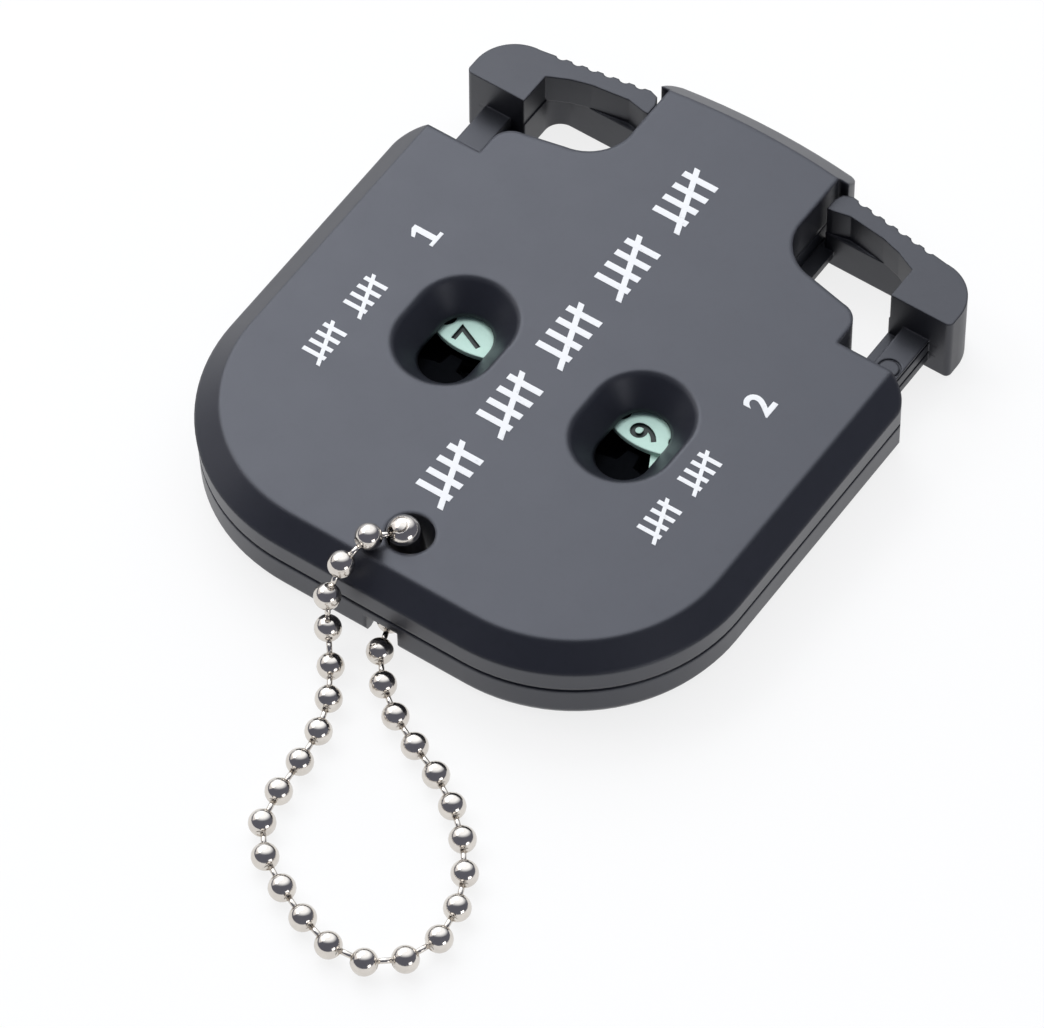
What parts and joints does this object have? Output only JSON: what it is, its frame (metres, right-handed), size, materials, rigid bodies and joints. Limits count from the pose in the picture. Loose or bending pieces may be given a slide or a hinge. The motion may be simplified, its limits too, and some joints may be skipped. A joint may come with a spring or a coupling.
{
  "type": "score counter",
  "caption": "Flat golf score counter with thumb push buttons, number wheels behind dished windows, and a ball chain loop at one end.",
  "frame": {"origin": "centre of the case's bounding box on the back face's plane, without the chain", "axes": "+X across the case towards the second player's side, +Y from the chain end to the buttons, +Z out of the windows"},
  "size_m": [0.0516, 0.0888, 0.0108],
  "materials": {
    "case_plastic": "satin moulded, near black",
    "button_plastic": "fine matt moulded",
    "mint_plastic": "smooth moulded",
    "dark_plastic": "smooth moulded",
    "spring_steel": "bright drawn",
    "chain_nickel": "nickel plated",
    "screw_steel": "zinc plated"
  },
  "bodies": {
    "case": {"front_shell": "case_plastic", "back_shell": "case_plastic", "left_units_detent": "spring_steel", "right_units_detent": "spring_steel", "left_tens_detent": "spring_steel", "right_tens_detent": "spring_steel", "left_button_spring": "spring_steel", "right_button_spring": "spring_steel", "chain_beads": "chain_nickel", "chain_links": "chain_nickel", "chain_connector": "chain_nickel", "case_screws": "screw_steel"},
    "left_button": {"left_button": "button_plastic", "left_drive_pawl": "spring_steel"},
    "right_button": {"right_button": "button_plastic", "right_drive_pawl": "spring_steel"},
    "left_units": {"left_units_dial": "mint_plastic", "left_units_ratchet": "dark_plastic"},
    "right_units": {"right_units_dial": "mint_plastic", "right_units_ratchet": "dark_plastic"},
    "left_tens": {"left_tens_wheel": "dark_plastic"},
    "right_tens": {"right_tens_wheel": "dark_plastic"}
  },
  "joints": [
    {"name": "left_button_press", "type": "slide", "parent": "case", "child": "left_button", "axis": [0, -1, 0], "range_m": [0, 0.0039], "stiffness_N_per_m": 150, "springref_m": -0.004, "deforming": ["left_button_spring"]},
    {"name": "right_button_press", "type": "slide", "parent": "case", "child": "right_button", "axis": [0, -1, 0], "range_m": [0, 0.0039], "stiffness_N_per_m": 150, "springref_m": -0.004, "deforming": ["right_button_spring"]},
    {"name": "left_units_turn", "type": "hinge", "parent": "case", "child": "left_units", "pos_m": [-0.009, 0.003, 0.003], "axis": [0, 0, 1], "range_deg": [0, 36], "deforming": ["left_units_detent"]},
    {"name": "right_units_turn", "type": "hinge", "parent": "case", "child": "right_units", "pos_m": [0.009, 0.003, 0.003], "axis": [0, 0, -1], "range_deg": [0, 36], "deforming": ["right_units_detent"]},
    {"name": "left_tens_turn", "type": "hinge", "parent": "case", "child": "left_tens", "pos_m": [-0.009, -0.0119, 0.0036], "axis": [0, 0, -1], "continuous": true, "deforming": ["left_tens_detent"]},
    {"name": "right_tens_turn", "type": "hinge", "parent": "case", "child": "right_tens", "pos_m": [0.009, -0.0119, 0.0036], "axis": [0, 0, 1], "range_deg": [0, 36], "deforming": ["right_tens_detent"]}
  ],
  "couplings": [
    {"joint": "left_units_turn", "follows": "left_button_press", "rad_per_m": 161.1},
    {"joint": "right_units_turn", "follows": "right_button_press", "rad_per_m": 161.1},
    {"joint": "right_tens_turn", "follows": "right_button_press", "rad_per_m": 161.1}
  ]
}
